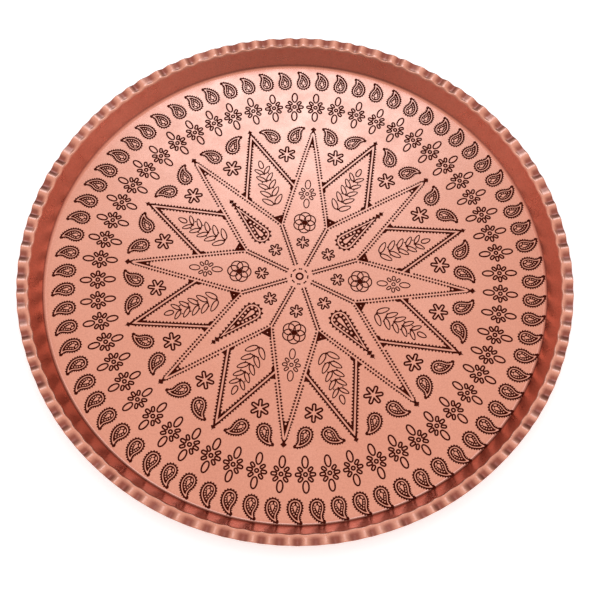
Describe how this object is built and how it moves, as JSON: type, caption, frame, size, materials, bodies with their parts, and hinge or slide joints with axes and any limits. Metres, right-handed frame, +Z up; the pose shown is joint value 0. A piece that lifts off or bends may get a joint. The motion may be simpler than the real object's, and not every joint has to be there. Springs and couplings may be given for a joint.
{
  "type": "hammered copper tray",
  "caption": "Round shallow copper serving tray with a dented lip, a flared wall and a flat floor covered with a black star, flower and paisley pattern.",
  "frame": {"origin": "centre of the flat underside, on the tray axis", "axes": "+Z up out of the dish; +Y points away from the viewer in the picture, along one long point of the star"},
  "size_m": [0.4, 0.4, 0.018],
  "materials": {
    "copper": "satin copper, lightly burnished",
    "black_fill": "matt black wax or lacquer in the punched marks"
  },
  "bodies": {
    "root": {"tray_body": "copper", "centre_ring_inlay": "black_fill", "centre_dash_inlay": "black_fill", "kite_ray_inlay": "black_fill", "kite_edge_inlay": "black_fill", "kite_wedge_inlay": "black_fill", "kite_tip_inlay": "black_fill", "minor_edge_inlay": "black_fill", "minor_corner_inlay": "black_fill", "minor_wedge_inlay": "black_fill", "minor_tip_inlay": "black_fill", "shoulder_inlay": "black_fill", "small_flower_inlay": "black_fill", "rosette_inlay": "black_fill", "kite_flower_inlay": "black_fill", "teardrop_inlay": "black_fill", "leaf_sprig_inlay": "black_fill", "gap_flower_inlay": "black_fill", "gap_paisley_inlay": "black_fill", "flower_ring_inlay": "black_fill", "paisley_ring_inlay": "black_fill"}
  },
  "joints": []
}
